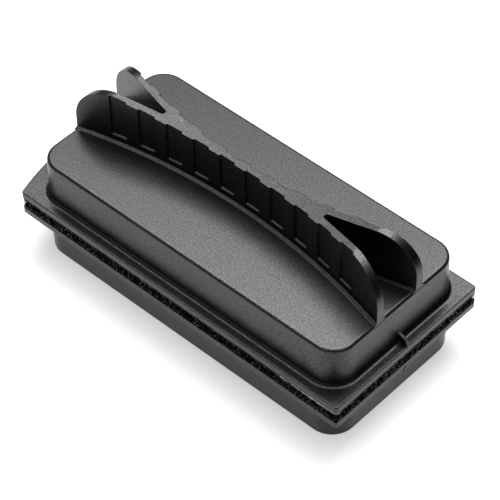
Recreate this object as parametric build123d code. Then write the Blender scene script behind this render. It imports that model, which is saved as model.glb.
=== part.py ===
from build123d import *
import math
import os

# Magnetic glass cleaner for aquariums and ponds: two magnet-loaded halves that
# clamp a pane of glass between their pads. Millimetres. The origin is the centre
# of the flat underside the cleaner rests on, +X runs towards the square end of
# the flange, +Z runs up through the scrubber half to the grip of the handle half.

# Flange, the wide lip that carries the pad on each half.
FLANGE_END_X = 60.0          # square end
FLANGE_HALF_Y = 29.35
FLANGE_BOW_CORNER_X = -60.2  # corners of the bowed end
FLANGE_BOW_APEX_X = -65.1    # middle of the bowed end
FLANGE_T = 2.2
FLANGE_CORNER_R = 0.9

# Body, the box that stands on the flange.
FOOT_HALF_X = 56.65
FOOT_HALF_Y = 26.0
FOOT_CORNER_R = 7.6
SCRUB_EXTRA = 0.3            # the lower body is that much bigger all round
DRAFT = 1.4                  # degrees
WALL = 2.2
ROOF = 2.0
EDGE_R = 1.0                 # rounding of the deck's edge
BASE_R = 0.5                 # rounding of the underside's edge
FOOT_FILLET = 1.2
FLANGE_EDGE_R = 0.35

# Heights, measured up from the underside.
SCRUB_FACE_Z = 14.67         # pad face of the lower flange
PAD_GAP = 3.87               # both pads together
HANDLE_FACE_Z = SCRUB_FACE_Z + PAD_GAP
HANDLE_FLANGE_TOP = HANDLE_FACE_Z + FLANGE_T
BODY_H = 14.0                # handle body above its flange
DECK_Z = HANDLE_FLANGE_TOP + BODY_H

# Grip, a rib that forks into two fins at each end.
GRIP_MID_HALF = 1.42
GRIP_END_HALF = 9.5
CREST_MID_Z = DECK_Z + 14.9
CREST_HIGH_Z = DECK_Z + 17.0
FIN_END_X = 56.3
FIN_END_R = 12.0
FORK_POINT_X = 25.8          # where the fork's inner faces would meet
FORK_R = 0.9
FORK_MID = (43.0, 3.62)
FORK_END_HALF = 7.0
FLARE_OUT = 0.95             # flare at the foot of the grip's outer faces
FLARE_UP = 0.6
FORK_FLARE = 0.6             # and inside the forks
FLUTE_COUNT = 10             # finger flutes along each side
FLUTE_PITCH = 9.4
FLUTE_W = 5.6
FLUTE_DEPTH = 0.6
FLUTE_LEDGE = 2.4
FLUTE_CORNER_R = 0.9
FLUTE_SLOPE = (0.3, 0.5)     # chamfer between a flute's back and its ledge
GRIP_RUN_X = 64.0            # the grip is cut from a rib drawn out to here
GRIP_ROOT = 0.4              # how deep the grip is rooted in the deck

# Gusset at the square end.
GUSSET_T = 0.9
GUSSET_H = 2.1               # at the flange's edge
GUSSET_RISE = 1.7            # more at the wall
GUSSET_SETBACK = 0.7         # how far its top stands back from the flange's edge
NOTCH = (1.3, 0.8, 0.9)      # the scrubber's notch beside its gusset

# Inside.
PLATE_T = 1.6
REBATE_W = 1.5
PLATE_GAP = 0.15
MAGNET = (24.6, 42.0, 8.0)
MAGNET_PITCH = 26.0
MAGNET_COUNT = 4
MAGNET_CHAMFER = 0.4
YOKE_T = 1.8
YOKE = (103.0, 42.0)
YOKE_CORNER_R = 2.0
FOAM = (98.0, 37.0)
FOAM_CORNER_R = 2.0
FOAM_PLAY = 0.02             # left free above and below the foam
RIB_T = 1.0
RIB_REACH_Y = 19.5
RIB_CLEAR = 0.3              # between a rib and the yoke plate's notch
STOP_X = 51.5                # where the end ribs stop the yoke plate
STOP_Y = 12.0
SEAL_W = 0.8
SEAL_H = 0.8
SEAL_CLEAR = 0.05

# Cutters and joined solids run past a face by this much, and two levels closer
# than NEAR are the same level.
PAST = 0.5
NEAR = 0.01

# Pad layers.
PAD_INSET = 0.2
ADHESIVE_T = 0.2
BACKING_T = 0.6
NAP_T = 1.13


def flange_outline(inset=0.0):
    """Plan of the flange: a square end and a bowed end."""
    x1 = FLANGE_END_X - inset
    x0 = FLANGE_BOW_CORNER_X + inset
    y = FLANGE_HALF_Y - inset
    apex = FLANGE_BOW_APEX_X + inset
    with BuildSketch() as plan:
        with BuildLine():
            Line((x0, -y), (x1, -y))
            Line((x1, -y), (x1, y))
            Line((x1, y), (x0, y))
            ThreePointArc((x0, y), (apex, 0), (x0, -y))
        make_face()
        fillet(plan.vertices(), FLANGE_CORNER_R)
    return plan.sketch


def rounded(half_x, half_y, radius):
    """Rounded rectangle about the origin."""
    with BuildSketch() as plan:
        RectangleRounded(2 * half_x, 2 * half_y, radius)
    return plan.sketch


def slab(plan, z, height, taper=0.0):
    """A plan raised by height from level z."""
    return extrude(Pos(0, 0, z) * plan, amount=height, dir=(0, 0, 1), taper=taper)


def block(x0, x1, y0, y1, z0, z1):
    """A box between two corners."""
    size = (x1 - x0, y1 - y0, z1 - z0)
    centre = ((x0 + x1) / 2, (y0 + y1) / 2, (z0 + z1) / 2)
    return Pos(*centre) * Box(*size)


def level_with(shape, z):
    """True for a level edge or face at height z."""
    return shape.bounding_box().size.Z < NEAR and abs(shape.center().Z - z) < NEAR


def body_block(height, extra, edge_r):
    """Drafted body on the XY plane with its outer top edge rounded."""
    plan = rounded(FOOT_HALF_X + extra, FOOT_HALF_Y + extra, FOOT_CORNER_R + extra)
    solid = slab(plan, 0, height, DRAFT)
    return fillet(solid.faces().sort_by(Axis.Z)[-1].edges(), edge_r)


def flanged_body(height, extra, edge_r):
    """Flange and body as one moulding, pad face at z = 0, body upwards."""
    flange = slab(flange_outline(), 0, FLANGE_T)
    flange = fillet(flange.faces().sort_by(Axis.Z)[-1].edges(), FLANGE_EDGE_R)
    moulding = flange + Pos(0, 0, FLANGE_T) * body_block(height, extra, edge_r)
    foot = [e for e in moulding.edges()
            if level_with(e, FLANGE_T)
            and abs(e.center().X) < FOOT_HALF_X + extra + PAST
            and abs(e.center().Y) < FOOT_HALF_Y + extra + PAST]
    return fillet(foot, FOOT_FILLET)


def cavity(depth):
    """Room for the magnets, from the pad face up to the given depth."""
    plan = rounded(FOOT_HALF_X - WALL, FOOT_HALF_Y - WALL, FOOT_CORNER_R - WALL)
    return slab(plan, 0, depth, DRAFT)


def rebate():
    """Seat of the face plate in the pad face."""
    grow = REBATE_W - WALL
    plan = rounded(FOOT_HALF_X + grow, FOOT_HALF_Y + grow, FOOT_CORNER_R + grow)
    return slab(plan, 0, PLATE_T)


def magnet_xs():
    """Centres of the magnets along the body."""
    return [(i - (MAGNET_COUNT - 1) / 2) * MAGNET_PITCH for i in range(MAGNET_COUNT)]


def gap_xs():
    """Middles of the gaps between neighbouring magnets."""
    xs = magnet_xs()
    return [(a + b) / 2 for a, b in zip(xs, xs[1:])]


def locating_ribs(depth):
    """Ribs on the cavity walls that hold the magnets apart and off the ends."""
    wall_y = FOOT_HALF_Y - WALL + PAST
    wall_x = FOOT_HALF_X - WALL + PAST
    top = depth + PAST
    ribs = []
    for x in gap_xs():
        ribs.append(block(x - RIB_T / 2, x + RIB_T / 2, RIB_REACH_Y, wall_y, PLATE_T, top))
        ribs.append(block(x - RIB_T / 2, x + RIB_T / 2, -wall_y, -RIB_REACH_Y, PLATE_T, top))
    for y in (-STOP_Y, STOP_Y):
        ribs.append(block(STOP_X, wall_x, y - RIB_T / 2, y + RIB_T / 2, PLATE_T, top))
        ribs.append(block(-wall_x, -STOP_X, y - RIB_T / 2, y + RIB_T / 2, PLATE_T, top))
    return ribs


def gusset():
    """Small web between the square end of the flange and the body wall."""
    x0 = FOOT_HALF_X - WALL / 2
    x1 = FLANGE_END_X
    x2 = x1 - GUSSET_SETBACK
    top = FLANGE_T + GUSSET_H
    with BuildSketch(Plane.XZ) as web:
        with BuildLine():
            Polyline((x0, FLANGE_T / 2), (x1, FLANGE_T / 2), (x1, FLANGE_T), (x2, top),
                     (x0, top + GUSSET_RISE), close=True)
        make_face()
    return extrude(web.sketch, amount=GUSSET_T / 2, both=True)


def gusset_notch(side):
    """Small notch in the flange's back beside the gusset."""
    long, wide, deep = NOTCH
    x1 = FLANGE_END_X
    y0, y1 = sorted((side * GUSSET_T / 2, side * (GUSSET_T / 2 + wide)))
    return block(x1 - long, x1 + PAST, y0, y1, FLANGE_T - deep, FLANGE_T + PAST)


def shell(height, roof, extra, edge_r):
    """One half's moulding, pad face at z = 0, hollow from below."""
    depth = FLANGE_T + height - roof
    hollow = cavity(depth)
    for rib in locating_ribs(depth):
        hollow = hollow - rib
    return flanged_body(height, extra, edge_r) + gusset() - hollow - rebate()


def grip_half(x):
    """Half the width of the grip rib at x, widening towards both ends."""
    return GRIP_MID_HALF + (GRIP_END_HALF - GRIP_MID_HALF) * (x / FOOT_HALF_X) ** 2


def grip_plan():
    """Plan of the grip rib, forked at both ends."""
    reach = GRIP_RUN_X
    half = grip_half(reach)
    splay = (FORK_END_HALF - FORK_MID[1]) / (FOOT_HALF_X - FORK_MID[0])
    fork = FORK_END_HALF + splay * (reach - FOOT_HALF_X)
    with BuildSketch() as plan:
        with BuildLine():
            ThreePointArc((-reach, -half), (0, -GRIP_MID_HALF), (reach, -half))
            Line((reach, -half), (reach, half))
            ThreePointArc((reach, half), (0, GRIP_MID_HALF), (-reach, half))
            Line((-reach, half), (-reach, -half))
        make_face()
    for side in (-1, 1):
        mid_x = side * FORK_MID[0]
        with BuildSketch() as gap:
            with BuildLine():
                ThreePointArc((side * FORK_POINT_X, 0), (mid_x, FORK_MID[1]),
                              (side * reach, fork))
                Line((side * reach, fork), (side * reach, -fork))
                ThreePointArc((side * reach, -fork), (mid_x, -FORK_MID[1]),
                              (side * FORK_POINT_X, 0))
            make_face()
            point = gap.vertices().sort_by(Axis.X)[0 if side > 0 else -1]
            fillet(point, FORK_R)
        plan.sketch_local = plan.sketch_local - gap.sketch_local
    return plan.sketch_local


def crest_profile():
    """Side view of the grip: a dished crest with big round ends."""
    end_x = FIN_END_X
    high_x = end_x - FIN_END_R
    shoulder = CREST_HIGH_Z - FIN_END_R
    foot = DECK_Z - ROOF / 2
    with BuildSketch(Plane.XZ) as profile:
        with BuildLine():
            Line((-end_x, foot), (end_x, foot))
            Line((end_x, foot), (end_x, shoulder))
            RadiusArc((end_x, shoulder), (high_x, CREST_HIGH_Z), -FIN_END_R)
            ThreePointArc((high_x, CREST_HIGH_Z), (0, CREST_MID_Z), (-high_x, CREST_HIGH_Z))
            RadiusArc((-high_x, CREST_HIGH_Z), (-end_x, shoulder), -FIN_END_R)
            Line((-end_x, shoulder), (-end_x, foot))
        make_face()
    return extrude(profile.sketch, amount=FOOT_HALF_Y, both=True)


def flute_cutter(tall):
    """Cutter of one flute, its back towards +Y, its lower corners rounded."""
    cutter = Box(FLUTE_W, 2 * FLUTE_DEPTH, tall)
    corners = cutter.edges().filter_by(Axis.Y).sort_by(Axis.Z)[:2]
    cutter = fillet(corners, FLUTE_CORNER_R)
    back = cutter.faces().sort_by(Axis.Y)[-1]
    ledge = [e for e in back.edges() if e.center().Z < FLUTE_CORNER_R - tall / 2]
    return chamfer(ledge, *FLUTE_SLOPE, reference=back)


def flutes():
    """Finger flutes cut into both sides of the grip, open at the crest."""
    z0 = DECK_Z + FLUTE_LEDGE
    tall = CREST_HIGH_Z + PAST - z0
    cutter = flute_cutter(tall)
    cuts = []
    for i in range(FLUTE_COUNT):
        x = (i - (FLUTE_COUNT - 1) / 2) * FLUTE_PITCH
        slope = (grip_half(x + PAST) - grip_half(x - PAST)) / (2 * PAST)
        lean = math.degrees(slope)
        for side, turn in ((-1, 0), (1, 180)):
            place = Pos(x, side * grip_half(x), z0 + tall / 2) * Rot(0, 0, turn + side * lean)
            cuts.append(place * cutter)
    return cuts


def foot_edges(solid, long):
    """The grip's edges on the deck: the long outer ones, or those of the forks."""
    edges = []
    for e in solid.edges():
        inner = (abs(e.center().Y) < FOOT_HALF_Y - PAST
                 and abs(e.center().X) < GRIP_RUN_X - PAST)
        if level_with(e, DECK_Z) and inner and (e.bounding_box().size.X > GRIP_RUN_X) == long:
            edges.append(e)
    return edges


def grip():
    """The grip with the flare at its foot, trimmed flush with the body's ends."""
    rise = CREST_HIGH_Z - DECK_Z + PAST
    deck = block(-GRIP_RUN_X, GRIP_RUN_X, -FOOT_HALF_Y, FOOT_HALF_Y, DECK_Z - ROOF, DECK_Z)
    joined = deck + slab(grip_plan(), DECK_Z - PAST, rise + PAST)
    joined = chamfer(foot_edges(joined, False), FORK_FLARE)
    for side in (-1, 1):
        outer = [e for e in foot_edges(joined, True) if side * e.center().Y > 0]
        deck_faces = [f for f in joined.faces() if level_with(f, DECK_Z)]
        beside = max(deck_faces, key=lambda f: side * f.center().Y)
        joined = chamfer(outer, FLARE_OUT, FLARE_UP, reference=beside)
    keep = slab(offset(grip_plan(), FLARE_OUT), DECK_Z - GRIP_ROOT, rise + GRIP_ROOT)
    solid = joined & keep & crest_profile()
    for cut in flutes():
        solid = solid - cut
    return solid


def handle_housing():
    """Upper moulding with the grip on its deck."""
    return Pos(0, 0, HANDLE_FACE_Z) * shell(BODY_H, ROOF, 0, EDGE_R) + grip()


def flipped(solid):
    """A part of the lower half, turned over so that its pad face looks up."""
    return Pos(0, 0, SCRUB_FACE_Z) * Rot(180, 0, 0) * solid


def seal_ring(extra=0.0):
    """Ring in the seat of the scrubber's face plate."""
    mid = REBATE_W / 2 - WALL
    out = mid + SEAL_W / 2 + extra
    inn = mid - SEAL_W / 2 - extra
    ring = slab(rounded(FOOT_HALF_X + out, FOOT_HALF_Y + out, FOOT_CORNER_R + out),
                PLATE_T, SEAL_H + extra)
    hole = slab(rounded(FOOT_HALF_X + inn, FOOT_HALF_Y + inn, FOOT_CORNER_R + inn),
                PLATE_T, SEAL_H + extra)
    return ring - hole


def scrubber_housing():
    """Lower moulding, its flat underside on z = 0."""
    height = SCRUB_FACE_Z - FLANGE_T
    solid = shell(height, WALL, SCRUB_EXTRA, BASE_R) - seal_ring(SEAL_CLEAR)
    for side in (-1, 1):
        solid = solid - gusset_notch(side)
    return flipped(solid)


def face_plate():
    """Flat plate that closes the moulding behind the pad."""
    grow = REBATE_W - WALL - PLATE_GAP
    return slab(rounded(FOOT_HALF_X + grow, FOOT_HALF_Y + grow, FOOT_CORNER_R + grow),
                0, PLATE_T)


def magnet(x):
    """Ferrite block with lightly broken edges."""
    sx, sy, sz = MAGNET
    solid = block(x - sx / 2, x + sx / 2, -sy / 2, sy / 2, PLATE_T, PLATE_T + sz)
    return chamfer(solid.edges(), MAGNET_CHAMFER)


def yoke_plate():
    """Steel plate that joins the backs of the magnets, notched for the ribs."""
    z0 = PLATE_T + MAGNET[2]
    z1 = z0 + YOKE_T
    solid = slab(rounded(YOKE[0] / 2, YOKE[1] / 2, YOKE_CORNER_R), z0, YOKE_T)
    notch = RIB_T / 2 + RIB_CLEAR
    for x in gap_xs():
        for side in (-1, 1):
            y0, y1 = sorted((side * (RIB_REACH_Y - RIB_CLEAR), side * (YOKE[1] / 2 + PAST)))
            solid = solid - block(x - notch, x + notch, y0, y1, z0 - PAST, z1 + PAST)
    return solid


def foam_shim(depth):
    """Foam that takes up the play between the yoke plate and the roof."""
    z0 = PLATE_T + MAGNET[2] + YOKE_T + FOAM_PLAY
    plan = rounded(FOAM[0] / 2, FOAM[1] / 2, FOAM_CORNER_R)
    return slab(plan, z0, depth - FOAM_PLAY - z0)


def pad_layer(z, thickness):
    """One layer of a pad, just inside the flange's edge."""
    return slab(flange_outline(PAD_INSET), z, thickness)


def handle_parts():
    """Upper half, the one held by hand on the dry side of the glass."""
    lift = Pos(0, 0, HANDLE_FACE_Z)
    z1 = HANDLE_FACE_Z - ADHESIVE_T
    z2 = z1 - BACKING_T
    parts = {
        "handle_housing": handle_housing(),
        "handle_face_plate": lift * face_plate(),
        "handle_yoke_plate": lift * yoke_plate(),
        "handle_foam_shim": lift * foam_shim(FLANGE_T + BODY_H - ROOF),
        "handle_pad_adhesive": pad_layer(z1, ADHESIVE_T),
        "handle_pad_backing": pad_layer(z2, BACKING_T),
        "handle_loop_pile": pad_layer(z2 - NAP_T, NAP_T),
    }
    for i, x in enumerate(magnet_xs()):
        parts[f"handle_magnet_{i + 1}"] = lift * magnet(x)
    return parts


def scrubber_parts():
    """Lower half, the one that scrubs the wet side of the glass."""
    height = SCRUB_FACE_Z - FLANGE_T
    z1 = SCRUB_FACE_Z + ADHESIVE_T
    parts = {
        "scrubber_housing": scrubber_housing(),
        "scrubber_face_plate": flipped(face_plate()),
        "scrubber_seal_ring": flipped(seal_ring()),
        "scrubber_yoke_plate": flipped(yoke_plate()),
        "scrubber_foam_shim": flipped(foam_shim(FLANGE_T + height - WALL)),
        "scrubber_pad_adhesive": pad_layer(SCRUB_FACE_Z, ADHESIVE_T),
        "scrubber_pad_backing": pad_layer(z1, BACKING_T),
        "scrubber_hook_pile": pad_layer(z1 + BACKING_T, NAP_T),
    }
    for i, x in enumerate(magnet_xs()):
        parts[f"scrubber_magnet_{i + 1}"] = flipped(magnet(x))
    return parts


os.makedirs("parts", exist_ok=True)
for name, solid in {**handle_parts(), **scrubber_parts()}.items():
    export_step(solid, f"parts/{name}.step")
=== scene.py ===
import math
import bpy
import numpy as np
from mathutils import Matrix, Vector


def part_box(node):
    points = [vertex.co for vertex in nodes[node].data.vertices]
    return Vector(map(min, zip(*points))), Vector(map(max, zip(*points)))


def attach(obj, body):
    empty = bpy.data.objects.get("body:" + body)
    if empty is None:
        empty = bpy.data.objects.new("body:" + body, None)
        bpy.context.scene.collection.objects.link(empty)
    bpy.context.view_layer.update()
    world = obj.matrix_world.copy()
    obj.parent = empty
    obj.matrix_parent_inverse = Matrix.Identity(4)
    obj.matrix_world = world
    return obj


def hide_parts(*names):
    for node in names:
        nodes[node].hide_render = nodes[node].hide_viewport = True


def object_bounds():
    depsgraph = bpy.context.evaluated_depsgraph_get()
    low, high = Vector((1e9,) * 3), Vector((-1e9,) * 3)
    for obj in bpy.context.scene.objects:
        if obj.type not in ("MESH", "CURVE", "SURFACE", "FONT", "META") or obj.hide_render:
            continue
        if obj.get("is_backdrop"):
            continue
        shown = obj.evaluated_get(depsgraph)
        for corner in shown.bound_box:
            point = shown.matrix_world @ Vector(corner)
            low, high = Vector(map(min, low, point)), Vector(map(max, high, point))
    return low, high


# Magnetic glass cleaner: two black plastic halves with fabric pads between
# them. Metres, in the CAD frame: +X towards the square end, +Z up.
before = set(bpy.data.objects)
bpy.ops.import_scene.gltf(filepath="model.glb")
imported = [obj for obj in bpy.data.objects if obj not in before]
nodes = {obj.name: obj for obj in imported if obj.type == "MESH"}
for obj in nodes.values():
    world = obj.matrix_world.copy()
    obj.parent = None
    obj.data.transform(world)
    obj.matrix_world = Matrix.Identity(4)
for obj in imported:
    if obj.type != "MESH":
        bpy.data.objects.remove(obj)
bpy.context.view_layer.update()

MM = 0.001
BOW = 4.9 * MM               # how far the flange's bowed end stands out
rng = np.random.default_rng(775)
scene = bpy.context.scene


# ---------------------------------------------------------------- materials

GLOSS = 0.42                 # of moulded plastic, before its pits vary it
WEAR = 0.5                   # most polish on an edge
EDGE_FLAT = 0.995            # cosine of the turn where an edge starts to show,
EDGE_TURNED = 0.80           # and where it shows fully


def tone(colour, factor, lift=0.0):
    """A colour made darker or lighter, with alpha."""
    return (*[c * factor + lift for c in colour], 1)


class Surface:
    """A new material, with the node steps that the finishes share."""

    def __init__(self, name):
        self.material = bpy.data.materials.new(name)
        self.material.use_nodes = True
        tree = self.material.node_tree
        self.nodes = tree.nodes
        self.links = tree.links
        self.shader = tree.nodes["Principled BSDF"]
        self.place = self.node("ShaderNodeTexCoord").outputs["Object"]

    def node(self, kind, **values):
        """A node with inputs and properties set by name."""
        n = self.nodes.new(kind)
        for key, value in values.items():
            label = key.replace("_", " ")
            if label in n.inputs:
                n.inputs[label].default_value = value
            else:
                setattr(n, key, value)
        return n

    def feed(self, socket, source):
        """Gives a socket a plain value or another node's output."""
        if isinstance(source, bpy.types.NodeSocket):
            self.links.new(source, socket)
        else:
            socket.default_value = source

    def texture(self, kind, output, vector=None, **values):
        """A procedural texture, fixed to the piece where no vector is given."""
        n = self.node(kind, **values)
        self.links.new(vector or self.place, n.inputs["Vector"])
        return n.outputs[output]

    def noise(self, scale, detail, roughness=0.5):
        """Noise fixed to the piece."""
        return self.texture("ShaderNodeTexNoise", "Fac", Scale=scale, Detail=detail,
                            Roughness=roughness)

    def ranged(self, source, low, high, start=0.3, stop=0.7):
        """A value from start to stop, mapped to run from low to high."""
        n = self.node("ShaderNodeMapRange", From_Min=start, From_Max=stop,
                      To_Min=low, To_Max=high)
        self.links.new(source, n.inputs["Value"])
        return n.outputs["Result"]

    def maths(self, operation, a, b):
        """Two values joined by one operation."""
        n = self.node("ShaderNodeMath", operation=operation)
        self.links.new(a, n.inputs[0])
        self.links.new(b, n.inputs[1])
        return n.outputs["Value"]

    def mixed(self, factor, a, b, data_type="RGBA"):
        """Something between a and b, which are colours or numbers."""
        n = self.node("ShaderNodeMix", data_type=data_type)
        self.links.new(factor, n.inputs["Factor"])
        self.feed(n.inputs["A"], a)
        self.feed(n.inputs["B"], b)
        return n.outputs["Result"]

    def edges(self, radius):
        """A softened normal, and a mask: 0 on flats, 1 on edges within the radius."""
        bevel = self.node("ShaderNodeBevel", samples=6, Radius=radius).outputs["Normal"]
        flat = self.node("ShaderNodeNewGeometry").outputs["Normal"]
        dot = self.node("ShaderNodeVectorMath", operation="DOT_PRODUCT")
        self.links.new(bevel, dot.inputs[0])
        self.links.new(flat, dot.inputs[1])
        return bevel, self.ranged(dot.outputs["Value"], 0.0, 1.0, EDGE_FLAT, EDGE_TURNED)

    def relief(self, height, strength, depth, normal=None):
        """The normal of a surface with a fine relief."""
        n = self.node("ShaderNodeBump", Strength=strength, Distance=depth)
        self.links.new(height, n.inputs["Height"])
        if normal:
            self.links.new(normal, n.inputs["Normal"])
        return n.outputs["Normal"]

    def finish(self, **values):
        """The material, with its shader's inputs set by name."""
        for key, source in values.items():
            self.feed(self.shader.inputs[key.replace("_", " ")], source)
        return self.material


def moulded(name, colour, rough, grain):
    """Spark-textured moulded plastic: pitted flats, slightly polished edges."""
    s = Surface(name)
    pits = s.noise(2300.0, 2.0, 0.6)
    cloud = s.noise(75.0, 4.0, 0.55)
    scuff = s.noise(420.0, 5.0, 0.7)
    normal, edge = s.edges(0.25 * MM)
    worn = s.maths("MULTIPLY", edge, s.ranged(scuff, 0.0, WEAR))
    base = s.mixed(cloud, tone(colour, 0.8), tone(colour, 1.3))
    flats = s.ranged(scuff, rough - 0.03, rough + 0.05)
    return s.finish(
        Base_Color=s.mixed(worn, base, tone(colour, 2.2, 0.006)),
        Roughness=s.mixed(worn, flats, rough - 0.08, "FLOAT"),
        Specular_IOR_Level=s.ranged(pits, GLOSS - grain / 2, GLOSS + grain / 2),
        Normal=s.relief(pits, grain, 0.06 * MM, normal))


def fibre(name, colour, rough, gloss, matt):
    """Nylon fibre: dark, with a gloss that differs from strand to strand.

    gloss is the range of it, and matt the share of strands at its lower end.
    """
    s = Surface(name)
    patch = s.noise(90.0, 3.0)
    strand = s.noise(2600.0, 1.0)
    pick = s.node("ShaderNodeNewGeometry").outputs["Random Per Island"]
    return s.finish(
        Base_Color=s.mixed(s.ranged(patch, 0.0, 1.0), tone(colour, 0.6), tone(colour, 1.8)),
        Roughness=s.ranged(strand, rough - 0.08, rough + 0.1),
        Specular_IOR_Level=s.ranged(pick, *gloss, matt, 1.0),
        Sheen_Weight=0.01, Sheen_Roughness=0.4,
        Normal=s.relief(strand, 0.35, 0.04 * MM))


def woven(name, colour):
    """Tight woven tape."""
    s = Surface(name)
    warp, weft = [s.texture("ShaderNodeTexWave", "Fac", Scale=520.0, Distortion=0.1,
                            bands_direction=axis) for axis in "XY"]
    cloth = s.maths("MULTIPLY", warp, weft)
    return s.finish(
        Base_Color=s.mixed(cloth, tone(colour, 0.5), tone(colour, 1.6)),
        Roughness=0.8, Specular_IOR_Level=0.04,
        Normal=s.relief(cloth, 0.6, 0.1 * MM))


def adhesive():
    """Pale, slightly yellowed transfer adhesive."""
    s = Surface("adhesive_film")
    blot = s.noise(300.0, 4.0)
    return s.finish(
        Base_Color=s.mixed(s.ranged(blot, 0.0, 1.0, 0.35, 0.65),
                           (0.20, 0.195, 0.185, 1), (0.48, 0.47, 0.45, 1)),
        Roughness=s.ranged(blot, 0.25, 0.5),
        Subsurface_Weight=0.15, Subsurface_Radius=(0.3 * MM, 0.3 * MM, 0.2 * MM),
        Normal=s.relief(blot, 0.3, 0.05 * MM))


def zinc():
    """Zinc-plated steel with rolling marks."""
    s = Surface("yoke_steel")
    stretch = s.texture("ShaderNodeMapping", "Vector", Scale=(60.0, 3000.0, 3000.0))
    marks = s.texture("ShaderNodeTexNoise", "Fac", stretch, Scale=1.0, Detail=6.0)
    spangle = s.texture("ShaderNodeTexVoronoi", "Distance", Scale=260.0)
    normal, _ = s.edges(0.3 * MM)
    return s.finish(
        Base_Color=s.mixed(spangle, (0.42, 0.43, 0.45, 1), (0.62, 0.63, 0.65, 1)),
        Metallic=1.0, Roughness=s.ranged(marks, 0.25, 0.45),
        Normal=s.relief(marks, 0.2, 0.04 * MM, normal))


def ferrite():
    """Sintered ferrite, ground on its faces and chipped at its edges."""
    s = Surface("ferrite")
    grit = s.noise(1500.0, 4.0)
    grind = s.texture("ShaderNodeTexWave", "Fac", Scale=900.0, Distortion=1.5,
                      bands_direction="X")
    normal, edge = s.edges(0.4 * MM)
    chips = s.maths("MULTIPLY", edge, grit)
    return s.finish(
        Base_Color=s.mixed(chips, (0.045, 0.045, 0.048, 1), (0.16, 0.155, 0.15, 1)),
        Roughness=s.ranged(grit, 0.42, 0.62),
        Normal=s.relief(s.maths("ADD", grit, grind), 0.25, 0.04 * MM, normal))


def closed_foam():
    """Closed-cell foam with a skin of small cells."""
    s = Surface("foam")
    cells = s.texture("ShaderNodeTexVoronoi", "Distance", Scale=1300.0)
    return s.finish(
        Base_Color=s.mixed(cells, (0.04, 0.04, 0.04, 1), (0.12, 0.12, 0.12, 1)),
        Roughness=0.9, Normal=s.relief(cells, 0.7, 0.2 * MM))


BLACK = (0.0009, 0.0009, 0.00095)
PILE_BLACK = (0.06, 0.06, 0.062)
PILE_GLOSS = (0.4, 1.0)
shell_black = moulded("moulded_black", BLACK, rough=0.32, grain=0.45)
plate_black = moulded("face_plate_black", BLACK, rough=0.45, grain=0.2)
seal_black = moulded("seal_rubber", (0.015, 0.015, 0.015), rough=0.62, grain=0.25)
loop_black = fibre("loop_pile", PILE_BLACK, rough=0.26, gloss=PILE_GLOSS, matt=0.0)
hook_black = fibre("hook_pile", PILE_BLACK, rough=0.20, gloss=PILE_GLOSS, matt=0.0)
# The rim's fibres are black nylon darkened far below the pile's: painted shade for the gap
# between the two flanges.
rim_black_painted_shade = fibre("frayed_rim_painted_shade", (0.002, 0.002, 0.0022), rough=0.23, gloss=(0.03, 1.0),
                  matt=0.5)
# The backing weave is far darker than the pad's face weave: black tape with painted shade for
# the gap between the flanges.
tape_black_painted_shade = woven("pad_backing", (0.0012, 0.0012, 0.0013))
weave_black = woven("pad_face", (0.02, 0.02, 0.021))
film_pale = adhesive()
zinc_steel = zinc()
dark_ferrite = ferrite()
foam_dark = closed_foam()


def paint(obj, material):
    """The object's only material."""
    obj.data.materials.clear()
    obj.data.materials.append(material)


for name, obj in nodes.items():
    if name.endswith("housing"):
        paint(obj, shell_black)
    elif name.endswith("face_plate"):
        paint(obj, plate_black)
    elif "magnet" in name:
        paint(obj, dark_ferrite)
    elif "yoke" in name:
        paint(obj, zinc_steel)


# ------------------------------------------------------------------- meshes

RIM_STEP = 0.7 * MM          # between points round a pad's edge
RAG = 0.12 * MM              # unevenness of a cut fabric edge
CAP_SCALE = 0.95             # flat middle of a slab's face, of its outline
FIBRE_TAPER = 0.75           # a fibre's end, of its radius


def make(name, verts, faces, material, body, smooth=False):
    """A mesh piece that rides a body."""
    mesh = bpy.data.meshes.new(name)
    mesh.from_pydata([tuple(v) for v in verts], [], [tuple(f) for f in faces])
    mesh.validate()
    if smooth:
        mesh.shade_smooth()
    obj = bpy.data.objects.new(name, mesh)
    scene.collection.objects.link(obj)
    paint(obj, material)
    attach(obj, body)
    return obj


def eased(values):
    """One smoothing pass over a closed row of values."""
    return (np.roll(values, 1, 0) + 2 * values + np.roll(values, -1, 0)) / 4


def bridge(a, b, n):
    """Quads between two rings of n points that start at a and b."""
    return [(a + i, a + (i + 1) % n, b + (i + 1) % n, b + i) for i in range(n)]


def pad_outline(box, inset=0.0, step=RIM_STEP):
    """Closed loop of points and outward normals round a pad's edge."""
    lo, hi = box
    y = hi.y - inset
    x1 = hi.x - inset
    x0 = lo.x + inset + BOW

    def run(a, b):
        n = max(2, int(round((b - a).length / step)))
        return [a.lerp(b, i / n) for i in range(n)]

    corners = [Vector((x0, -y)), Vector((x1, -y)), Vector((x1, y)), Vector((x0, y))]
    bow = [Vector((x0 - BOW * (1 - (t / y) ** 2), t))
           for t in np.linspace(y, -y, int(2 * y / step))]
    pts = [p for a, b in zip(corners, corners[1:]) for p in run(a, b)] + bow[:-1]
    pts = eased(np.array([tuple(p) for p in pts]))
    tangent = np.roll(pts, -1, 0) - np.roll(pts, 1, 0)
    tangent /= np.linalg.norm(tangent, axis=1)[:, None]
    return pts, np.stack([tangent[:, 1], -tangent[:, 0]], 1)


def inside(x, y, box, inset):
    """True where a point lies inside the pad's outline."""
    lo, hi = box
    edge = lo.x + inset + BOW * (y / hi.y) ** 2
    return (np.abs(y) < hi.y - inset) & (x < hi.x - inset) & (x > edge)


def ragged(count):
    """Random unevenness round a closed edge."""
    r = eased(rng.normal(0, 1, count))
    return r / np.abs(r).max() * RAG


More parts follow.
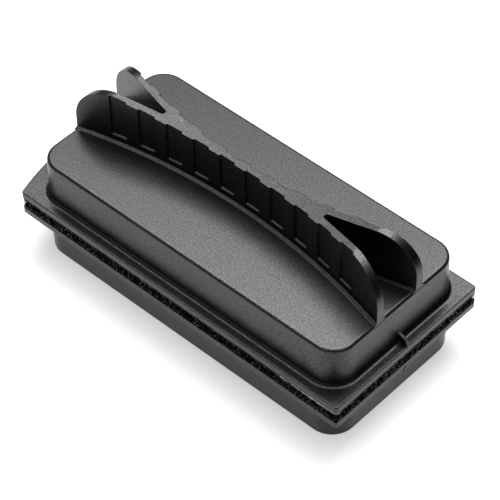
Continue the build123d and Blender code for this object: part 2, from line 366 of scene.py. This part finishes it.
def layered_slab(name, box, levels, material, body):
    """A soft slab: rings of points stacked up its edge, and a flat face at each end.

    Each level is a height and how far its ring stands out past the outline,
    which is a distance or a function of a rim point that gives one.
    """
    pts, normal = pad_outline(box)
    n = len(pts)
    verts, faces = [], []
    for z, out in levels:
        wobble = ragged(n)[:, None]
        reach = np.array([out(p) for p in pts])[:, None] if callable(out) else out
        ring = pts + normal * (reach + wobble)
        verts += [(p[0], p[1], z) for p in ring]
    for k in range(len(levels) - 1):
        faces += bridge(k * n, (k + 1) * n, n)
    middle = (pts.max(axis=0) + pts.min(axis=0)) / 2
    inner = middle + (pts - middle) * CAP_SCALE
    for k, turn in ((0, -1), (len(levels) - 1, 1)):
        start = len(verts)
        verts += [(p[0], p[1], levels[k][0]) for p in inner]
        cap = bridge(k * n, start, n) + [tuple(range(start, start + n))]
        faces += [f[::turn] for f in cap]
    return make(name, verts, faces, material, body)


def tubes(paths, radii, sides=3):
    """Verts and faces of many thin tubes. paths is (count, points, 3)."""
    count, m, _ = paths.shape
    tiny = 1e-12
    t = np.gradient(paths, axis=1)
    t /= np.linalg.norm(t, axis=2)[..., None] + tiny
    u = np.cross(t, np.array([0.31, 0.17, 0.93]))    # an arbitrary direction
    u /= np.linalg.norm(u, axis=2)[..., None] + tiny
    w = np.cross(t, u)
    ang = np.linspace(0, 2 * math.pi, sides, endpoint=False)
    taper = np.ones(m)
    taper[[0, -1]] = FIBRE_TAPER
    ring = (u[:, :, None] * np.cos(ang)[None, None, :, None]
            + w[:, :, None] * np.sin(ang)[None, None, :, None])
    r = np.asarray(radii)[:, None, None, None]
    verts = paths[:, :, None] + ring * r * taper[None, :, None, None]
    first = np.arange(count) * m * sides
    base = first[:, None, None]
    row = np.arange(m - 1)[None, :, None] * sides
    a = np.arange(sides)[None, None, :]
    b = (a + 1) % sides
    quads = np.stack([base + row + a, base + row + b,
                      base + row + sides + b, base + row + sides + a], -1).reshape(-1, 4)
    side = np.arange(sides)
    start = first[:, None] + side[::-1]
    end = first[:, None] + (m - 1) * sides + side
    faces = [tuple(q) for q in quads] + [tuple(q) for q in np.vstack([start, end])]
    return verts.reshape(-1, 3), faces


def scatter(box, pitch_x, pitch_y, jitter, inset):
    """Jittered grid of points inside the pad."""
    lo, hi = box
    xs = np.arange(lo.x + inset, hi.x - inset, pitch_x)
    ys = np.arange(lo.y + inset, hi.y - inset, pitch_y)
    gx, gy = np.meshgrid(xs, ys)
    gx = gx.ravel() + rng.uniform(-jitter, jitter, gx.size)
    gy = gy.ravel() + rng.uniform(-jitter, jitter, gy.size)
    keep = inside(gx, gy, box, inset)
    return gx[keep], gy[keep]


def loops(x, y, z0, up, height):
    """Arched fibre loops standing on z0; up is 1 or -1."""
    n = len(x)
    points = 9
    lean_x, lean_y = rng.normal(0, 0.35, (2, n))
    t = np.linspace(0, 1, points)
    arch = np.sin(math.pi * t)[None]
    turn = rng.uniform(0, 2 * math.pi, n)
    w = rng.uniform(0.5 * MM, 1.2 * MM, n)
    h = rng.uniform(*height, n)
    along = w[:, None] * (t - 0.5)[None]
    rise = h[:, None] * arch ** 0.75
    kink = rng.normal(0, 0.07 * MM, (n, points)) * arch
    px = x[:, None] + along * np.cos(turn)[:, None] + kink + lean_x[:, None] * rise
    py = y[:, None] + along * np.sin(turn)[:, None] - kink + lean_y[:, None] * rise
    return np.stack([px, py, z0 + up * rise], -1)


def hooks(x, y, z0, up, height, facing):
    """Stiff monofilament hooks standing on z0: a straight stem and a round crook."""
    n = len(x)
    h = rng.uniform(*height, n)[:, None]
    r = 0.24 * MM
    crook = np.radians([45, 90, 135, 180, 215])
    stem = np.array([0, 0.45, 1.0, 1.0, 1.0, 1.0, 1.0, 1.0])
    out = np.concatenate([[0, 0, 0], r * (1 - np.cos(crook))])
    over = np.concatenate([[0, 0, 0], r * np.sin(crook)])
    lift = stem[None] * (h - r) + over[None]
    turn = facing + rng.normal(0, 0.35, n)
    lean = rng.normal(0, 0.12, (n, 2))
    px = x[:, None] + out[None] * np.cos(turn)[:, None] + lean[:, :1] * lift
    py = y[:, None] + out[None] * np.sin(turn)[:, None] + lean[:, 1:] * lift
    return np.stack([px, py, z0 + up * lift], -1)


def fringe(box, z_foot, z_tip, pitch, inset, slant):
    """Frayed fibres round a pad's rim, bowed outwards and leaning along it."""
    pts, normal = pad_outline(box, inset, step=pitch)
    n = len(pts)
    t = np.linspace(0, 1, 7)[None]
    tangent = np.stack([-normal[:, 1], normal[:, 0]], 1)
    side = rng.choice([-1.0, 1.0], n, p=[0.3, 0.7])
    lean = (slant * side + rng.normal(0, 0.4, n)) * MM
    bow = rng.uniform(0.05, 0.45, n) * MM
    height = (z_tip - z_foot) * rng.uniform(0.55, 1.0, n)
    start = pts + rng.normal(0, 0.1 * MM, (n, 2))
    out = bow[:, None] * np.sin(math.pi * t) ** 0.8
    along = lean[:, None] * (t - 0.3)
    px = start[:, :1] + normal[:, :1] * out + tangent[:, :1] * along
    py = start[:, 1:] + normal[:, 1:] * out + tangent[:, 1:] * along
    return np.stack([px, py, z_foot + height[:, None] * t], -1)


# --------------------------------------------------------------------- pads

FILM_START_X = 40 * MM       # the handle's adhesive has crept out near this corner
FILM_EDGE_Y = -28 * MM
FILM_CREEP = 0.5 * MM
FILM_TUCK = 0.5 * MM         # elsewhere it ends this far under the flange
TAPE_TUCK = (0.22 * MM, 0.12 * MM, 0.12 * MM, 0.22 * MM)    # from its lowest level up
GROUND_TUCK = (0.20 * MM, 0.25 * MM, 0.6 * MM)
GROUND_SHARE = 0.45          # of the pile's height that its woven ground fills
RIM_DEPTH = 1.2              # rim fibres start this far back, in tape thicknesses
# Pitch, inset and slant of each row of rim fibres.
RIM_ROWS = ((1.3 * MM, 0.0, 1.0), (0.9 * MM, 0.15 * MM, 0.8), (0.7 * MM, 0.3 * MM, 0.6))
HOOK_ROW = 1.7 * MM


def between(box, *shares):
    """Heights in a box, as shares of the way up it."""
    lo, hi = box
    return [lo.z * (1 - s) + hi.z * s for s in shares]


def film_reach(side):
    """How far the adhesive shows past the pad's rim, for each point of the rim."""
    def reach(p):
        crept = side == "handle" and p[1] < FILM_EDGE_Y and p[0] > FILM_START_X
        return FILM_CREEP * rng.uniform(0.1, 1.0) if crept else -FILM_TUCK
    return reach


def pad(side, up, kind, pile_material):
    """Adhesive film, woven backing and pile of one half; up is the pile's direction."""
    body = f"{side}_half"
    pile_node = f"{side}_{kind[:-1]}_pile"
    film_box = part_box(f"{side}_pad_adhesive")
    tape_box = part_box(f"{side}_pad_backing")
    pile_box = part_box(pile_node)

    levels = [(z, film_reach(side)) for z in between(film_box, 0, 0.5, 1)]
    film = layered_slab(f"{side}_adhesive", film_box, levels, film_pale, body)
    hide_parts(f"{side}_pad_adhesive")

    levels = [(z, -tuck) for z, tuck in zip(between(tape_box, 0, 0.3, 0.7, 1), TAPE_TUCK)]
    tape = layered_slab(f"{side}_tape", tape_box, levels, tape_black_painted_shade, body)
    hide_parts(f"{side}_pad_backing")

    lo, hi = pile_box
    foot, tip = (lo.z, hi.z) if up > 0 else (hi.z, lo.z)
    tall = hi.z - lo.z
    root = foot - up * RIM_DEPTH * (tape_box[1].z - tape_box[0].z)
    rim = np.concatenate([fringe(pile_box, root, tip, *row) for row in RIM_ROWS])
    if kind == "loops":
        x, y = scatter(pile_box, pitch_x=1.4 * MM, pitch_y=1.4 * MM, jitter=0.6 * MM,
                       inset=1.0 * MM)
        paths = loops(x, y, foot, up, (0.75 * tall, 0.97 * tall))
        radii = rng.uniform(0.055, 0.10, len(paths)) * MM
    else:
        x, y = scatter(pile_box, pitch_x=1.35 * MM, pitch_y=HOOK_ROW, jitter=0.12 * MM,
                       inset=0.9 * MM)
        row = np.round(y / HOOK_ROW).astype(int)
        facing = np.where(row % 2 == 0, 0.0, math.pi)
        paths = hooks(x, y, foot, up, (0.82 * tall, 0.98 * tall), facing)
        radii = rng.uniform(0.075, 0.10, len(paths)) * MM
    verts, faces = tubes(paths, radii)
    pile = make(f"{side}_{kind}", verts, faces, pile_material, body, smooth=True)
    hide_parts(pile_node)

    verts, faces = tubes(rim, rng.uniform(0.06, 0.13, len(rim)) * MM, sides=4)
    make(f"{side}_{kind}_rim", verts, faces, rim_black_painted_shade, body, smooth=True)

    z0, z1 = sorted((foot, foot + up * tall * GROUND_SHARE))
    levels = [(z, -tuck) for z, tuck in zip((z0, (z0 + z1) / 2, z1), GROUND_TUCK)]
    ground = layered_slab(f"{side}_{kind}_ground", pile_box, levels, tape_black_painted_shade, body)
    # The ground's flat faces take the face weave; its edges keep the darker backing weave,
    # painted shade in the gap between the flanges.
    ground.data.materials.append(weave_black)
    for face in ground.data.polygons:
        flat = abs(face.normal.z) > 0.9
        face.material_index = int(flat)


pad("handle", -1, "loops", loop_black)
pad("scrubber", 1, "hooks", hook_black)


# ------------------------------------------------------ soft inner pieces

def soft_block(side):
    """Foam shim with dented faces and slightly rounded edges."""
    lo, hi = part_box(f"{side}_foam_shim")
    nx, ny, nz = 50, 20, 3
    pull = 0.25 * MM
    dent_depth = 0.02 * MM
    verts, faces, index = [], [], {}
    xs = np.linspace(lo.x, hi.x, nx)
    ys = np.linspace(lo.y, hi.y, ny)
    zs = np.linspace(lo.z, hi.z, nz)
    for k in range(nz):
        inwards = (1, 0, -1)[k]
        for i in range(nx):
            for j in range(ny):
                rim = i in (0, nx - 1) or j in (0, ny - 1)
                if rim or inwards:
                    dent = abs(rng.normal(0, dent_depth))
                    index[i, j, k] = len(verts)
                    verts.append((xs[i], ys[j], zs[k] + (pull * rim + dent) * inwards))
    for k, turn in ((0, -1), (nz - 1, 1)):
        for i in range(nx - 1):
            for j in range(ny - 1):
                q = [(i, j, k), (i + 1, j, k), (i + 1, j + 1, k), (i, j + 1, k)]
                faces.append([index[p] for p in q][::turn])
    rim = ([(i, 0) for i in range(nx)] + [(nx - 1, j) for j in range(1, ny)]
           + [(i, ny - 1) for i in range(nx - 2, -1, -1)]
           + [(0, j) for j in range(ny - 2, 0, -1)])
    for k in range(nz - 1):
        for a, b in zip(rim, rim[1:] + rim[:1]):
            faces.append([index[(*p, z)] for p, z in ((a, k), (b, k), (b, k + 1), (a, k + 1))])
    foam = make(f"{side}_foam", verts, faces, foam_dark, f"{side}_half", smooth=True)
    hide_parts(f"{side}_foam_shim")


soft_block("handle")
soft_block("scrubber")


def seal_cord():
    """Moulded rubber ring with a rounded section, in the scrubber's plate seat."""
    lo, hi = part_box("scrubber_seal_ring")
    half = (hi.z - lo.z) / 2
    zc = (lo.z + hi.z) / 2
    corner = 6.5 * MM
    hx = hi.x - half - corner
    hy = hi.y - half - corner
    line = []
    for cx, cy, start in ((hx, hy, 0), (-hx, hy, 90), (-hx, -hy, 180), (hx, -hy, 270)):
        for a in np.radians(np.linspace(start, start + 90, 13)):
            line.append((cx + corner * math.cos(a), cy + corner * math.sin(a),
                         math.cos(a), math.sin(a)))
    section = [(half * math.cos(a), half * math.sin(a))
               for a in np.linspace(0, 2 * math.pi, 10, endpoint=False)]
    verts = [(x + nx * u, y + ny * u, zc + v) for x, y, nx, ny in line for u, v in section]
    n, m = len(line), len(section)
    faces = [f for i in range(n) for f in bridge((i + 1) % n * m, i * m, m)]
    ring = make("scrubber_seal", verts, faces, seal_black, "scrubber_half",
                smooth=True)
    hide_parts("scrubber_seal_ring")


seal_cord()


# ------------------------------------------------------------ floor, lights

def staged(name, verts, material):
    """One flat sheet of the set, which isn't part of the object."""
    mesh = bpy.data.meshes.new(name)
    mesh.from_pydata(verts, [], [(0, 1, 2, 3)])
    obj = bpy.data.objects.new(name, mesh)
    scene.collection.objects.link(obj)
    paint(obj, material)
    obj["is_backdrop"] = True
    return obj


def floor():
    """Plain pale floor, softly lit from below like a light table."""
    size = 3.0
    white = Surface("floor_white").finish(
        Base_Color=(0.52, 0.52, 0.52, 1), Emission_Color=(1, 1, 1, 1),
        Emission_Strength=0.42, Roughness=0.85, Specular_IOR_Level=0.2)
    sheet = [(-size, -size, 0), (size, -size, 0), (size, size, 0), (-size, size, 0)]
    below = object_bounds()[0].z - 0.02 * MM
    staged("floor", sheet, white).location.z = below


def softbox(name, direction, distance, width, depth, power):
    """Area light aimed at the origin."""
    light = bpy.data.lights.new(name, "AREA")
    light.shape = "RECTANGLE"
    light.size = width
    light.size_y = depth
    light.energy = power
    obj = bpy.data.objects.new(name, light)
    scene.collection.objects.link(obj)
    away = Vector(direction).normalized()
    obj.location = away * distance
    obj.rotation_mode = "QUATERNION"
    obj.rotation_quaternion = away.to_track_quat("Z", "Y")


def flag(away, turn, width, height):
    """Black card beside the set that only reflections see."""
    x = Vector((math.cos(turn), math.sin(turn), 0)) * away
    y = Vector((-math.sin(turn), math.cos(turn), 0)) * width / 2
    top = Vector((0, 0, height))
    card_black = Surface("flag_black").finish(
        Base_Color=(0.003, 0.003, 0.003, 1), Specular_IOR_Level=0.0)
    card = staged("flag", [x - y, x + y, x + y + top, x - y + top], card_black)
    card.visible_camera = False
    card.visible_diffuse = False
    card.visible_shadow = False


floor()

# The photograph's camera, as solved on the flange's and body's outlines.
IMAGE = 500                  # pixels across
SENSOR = 36
FOCAL_PIXELS = 2277.5
AZIMUTH = math.radians(43.456)
ELEVATION = math.radians(46.945)
ROLL = math.radians(-1.133)
AIM = Vector((4.217, -2.325, 20.74)) * MM
DISTANCE = 637.58 * MM

zenith = Vector((0, 0, 1))
towards = Vector((math.sin(AZIMUTH), -math.cos(AZIMUTH), 0))
across = Vector((math.cos(AZIMUTH), math.sin(AZIMUTH), 0))
softbox("overhead", zenith + towards * 0.02,
        distance=1.0, width=1.8, depth=1.5, power=18.5)
softbox("back", zenith - towards * 0.50 + across * 0.10,
        distance=1.1, width=1.0, depth=0.60, power=19.0)
flag(away=0.15, turn=math.radians(30), width=0.5, height=0.14)

world = bpy.data.worlds.new("studio")
scene.world = world
world.use_nodes = True
background = world.node_tree.nodes["Background"].inputs
background["Color"].default_value = (1, 1, 1, 1)
background["Strength"].default_value = 0.08


# ------------------------------------------------------------------- camera

def camera():
    """Camera at the photograph's viewing angle."""
    back = towards * math.cos(ELEVATION) + zenith * math.sin(ELEVATION)
    right = (-back).cross(zenith).normalized()
    up = right.cross(-back)
    r = right * math.cos(ROLL) + up * math.sin(ROLL)
    u = up * math.cos(ROLL) - right * math.sin(ROLL)
    data = bpy.data.cameras.new("camera")
    data.lens = FOCAL_PIXELS / IMAGE * SENSOR
    data.sensor_width = SENSOR
    data.clip_start = 0.01
    cam = bpy.data.objects.new("camera", data)
    scene.collection.objects.link(cam)
    turn = Matrix((r, u, back)).transposed().to_4x4()
    cam.matrix_world = Matrix.Translation(AIM + back * DISTANCE) @ turn
    scene.camera = cam


camera()
scene.view_settings.view_transform = "Standard"
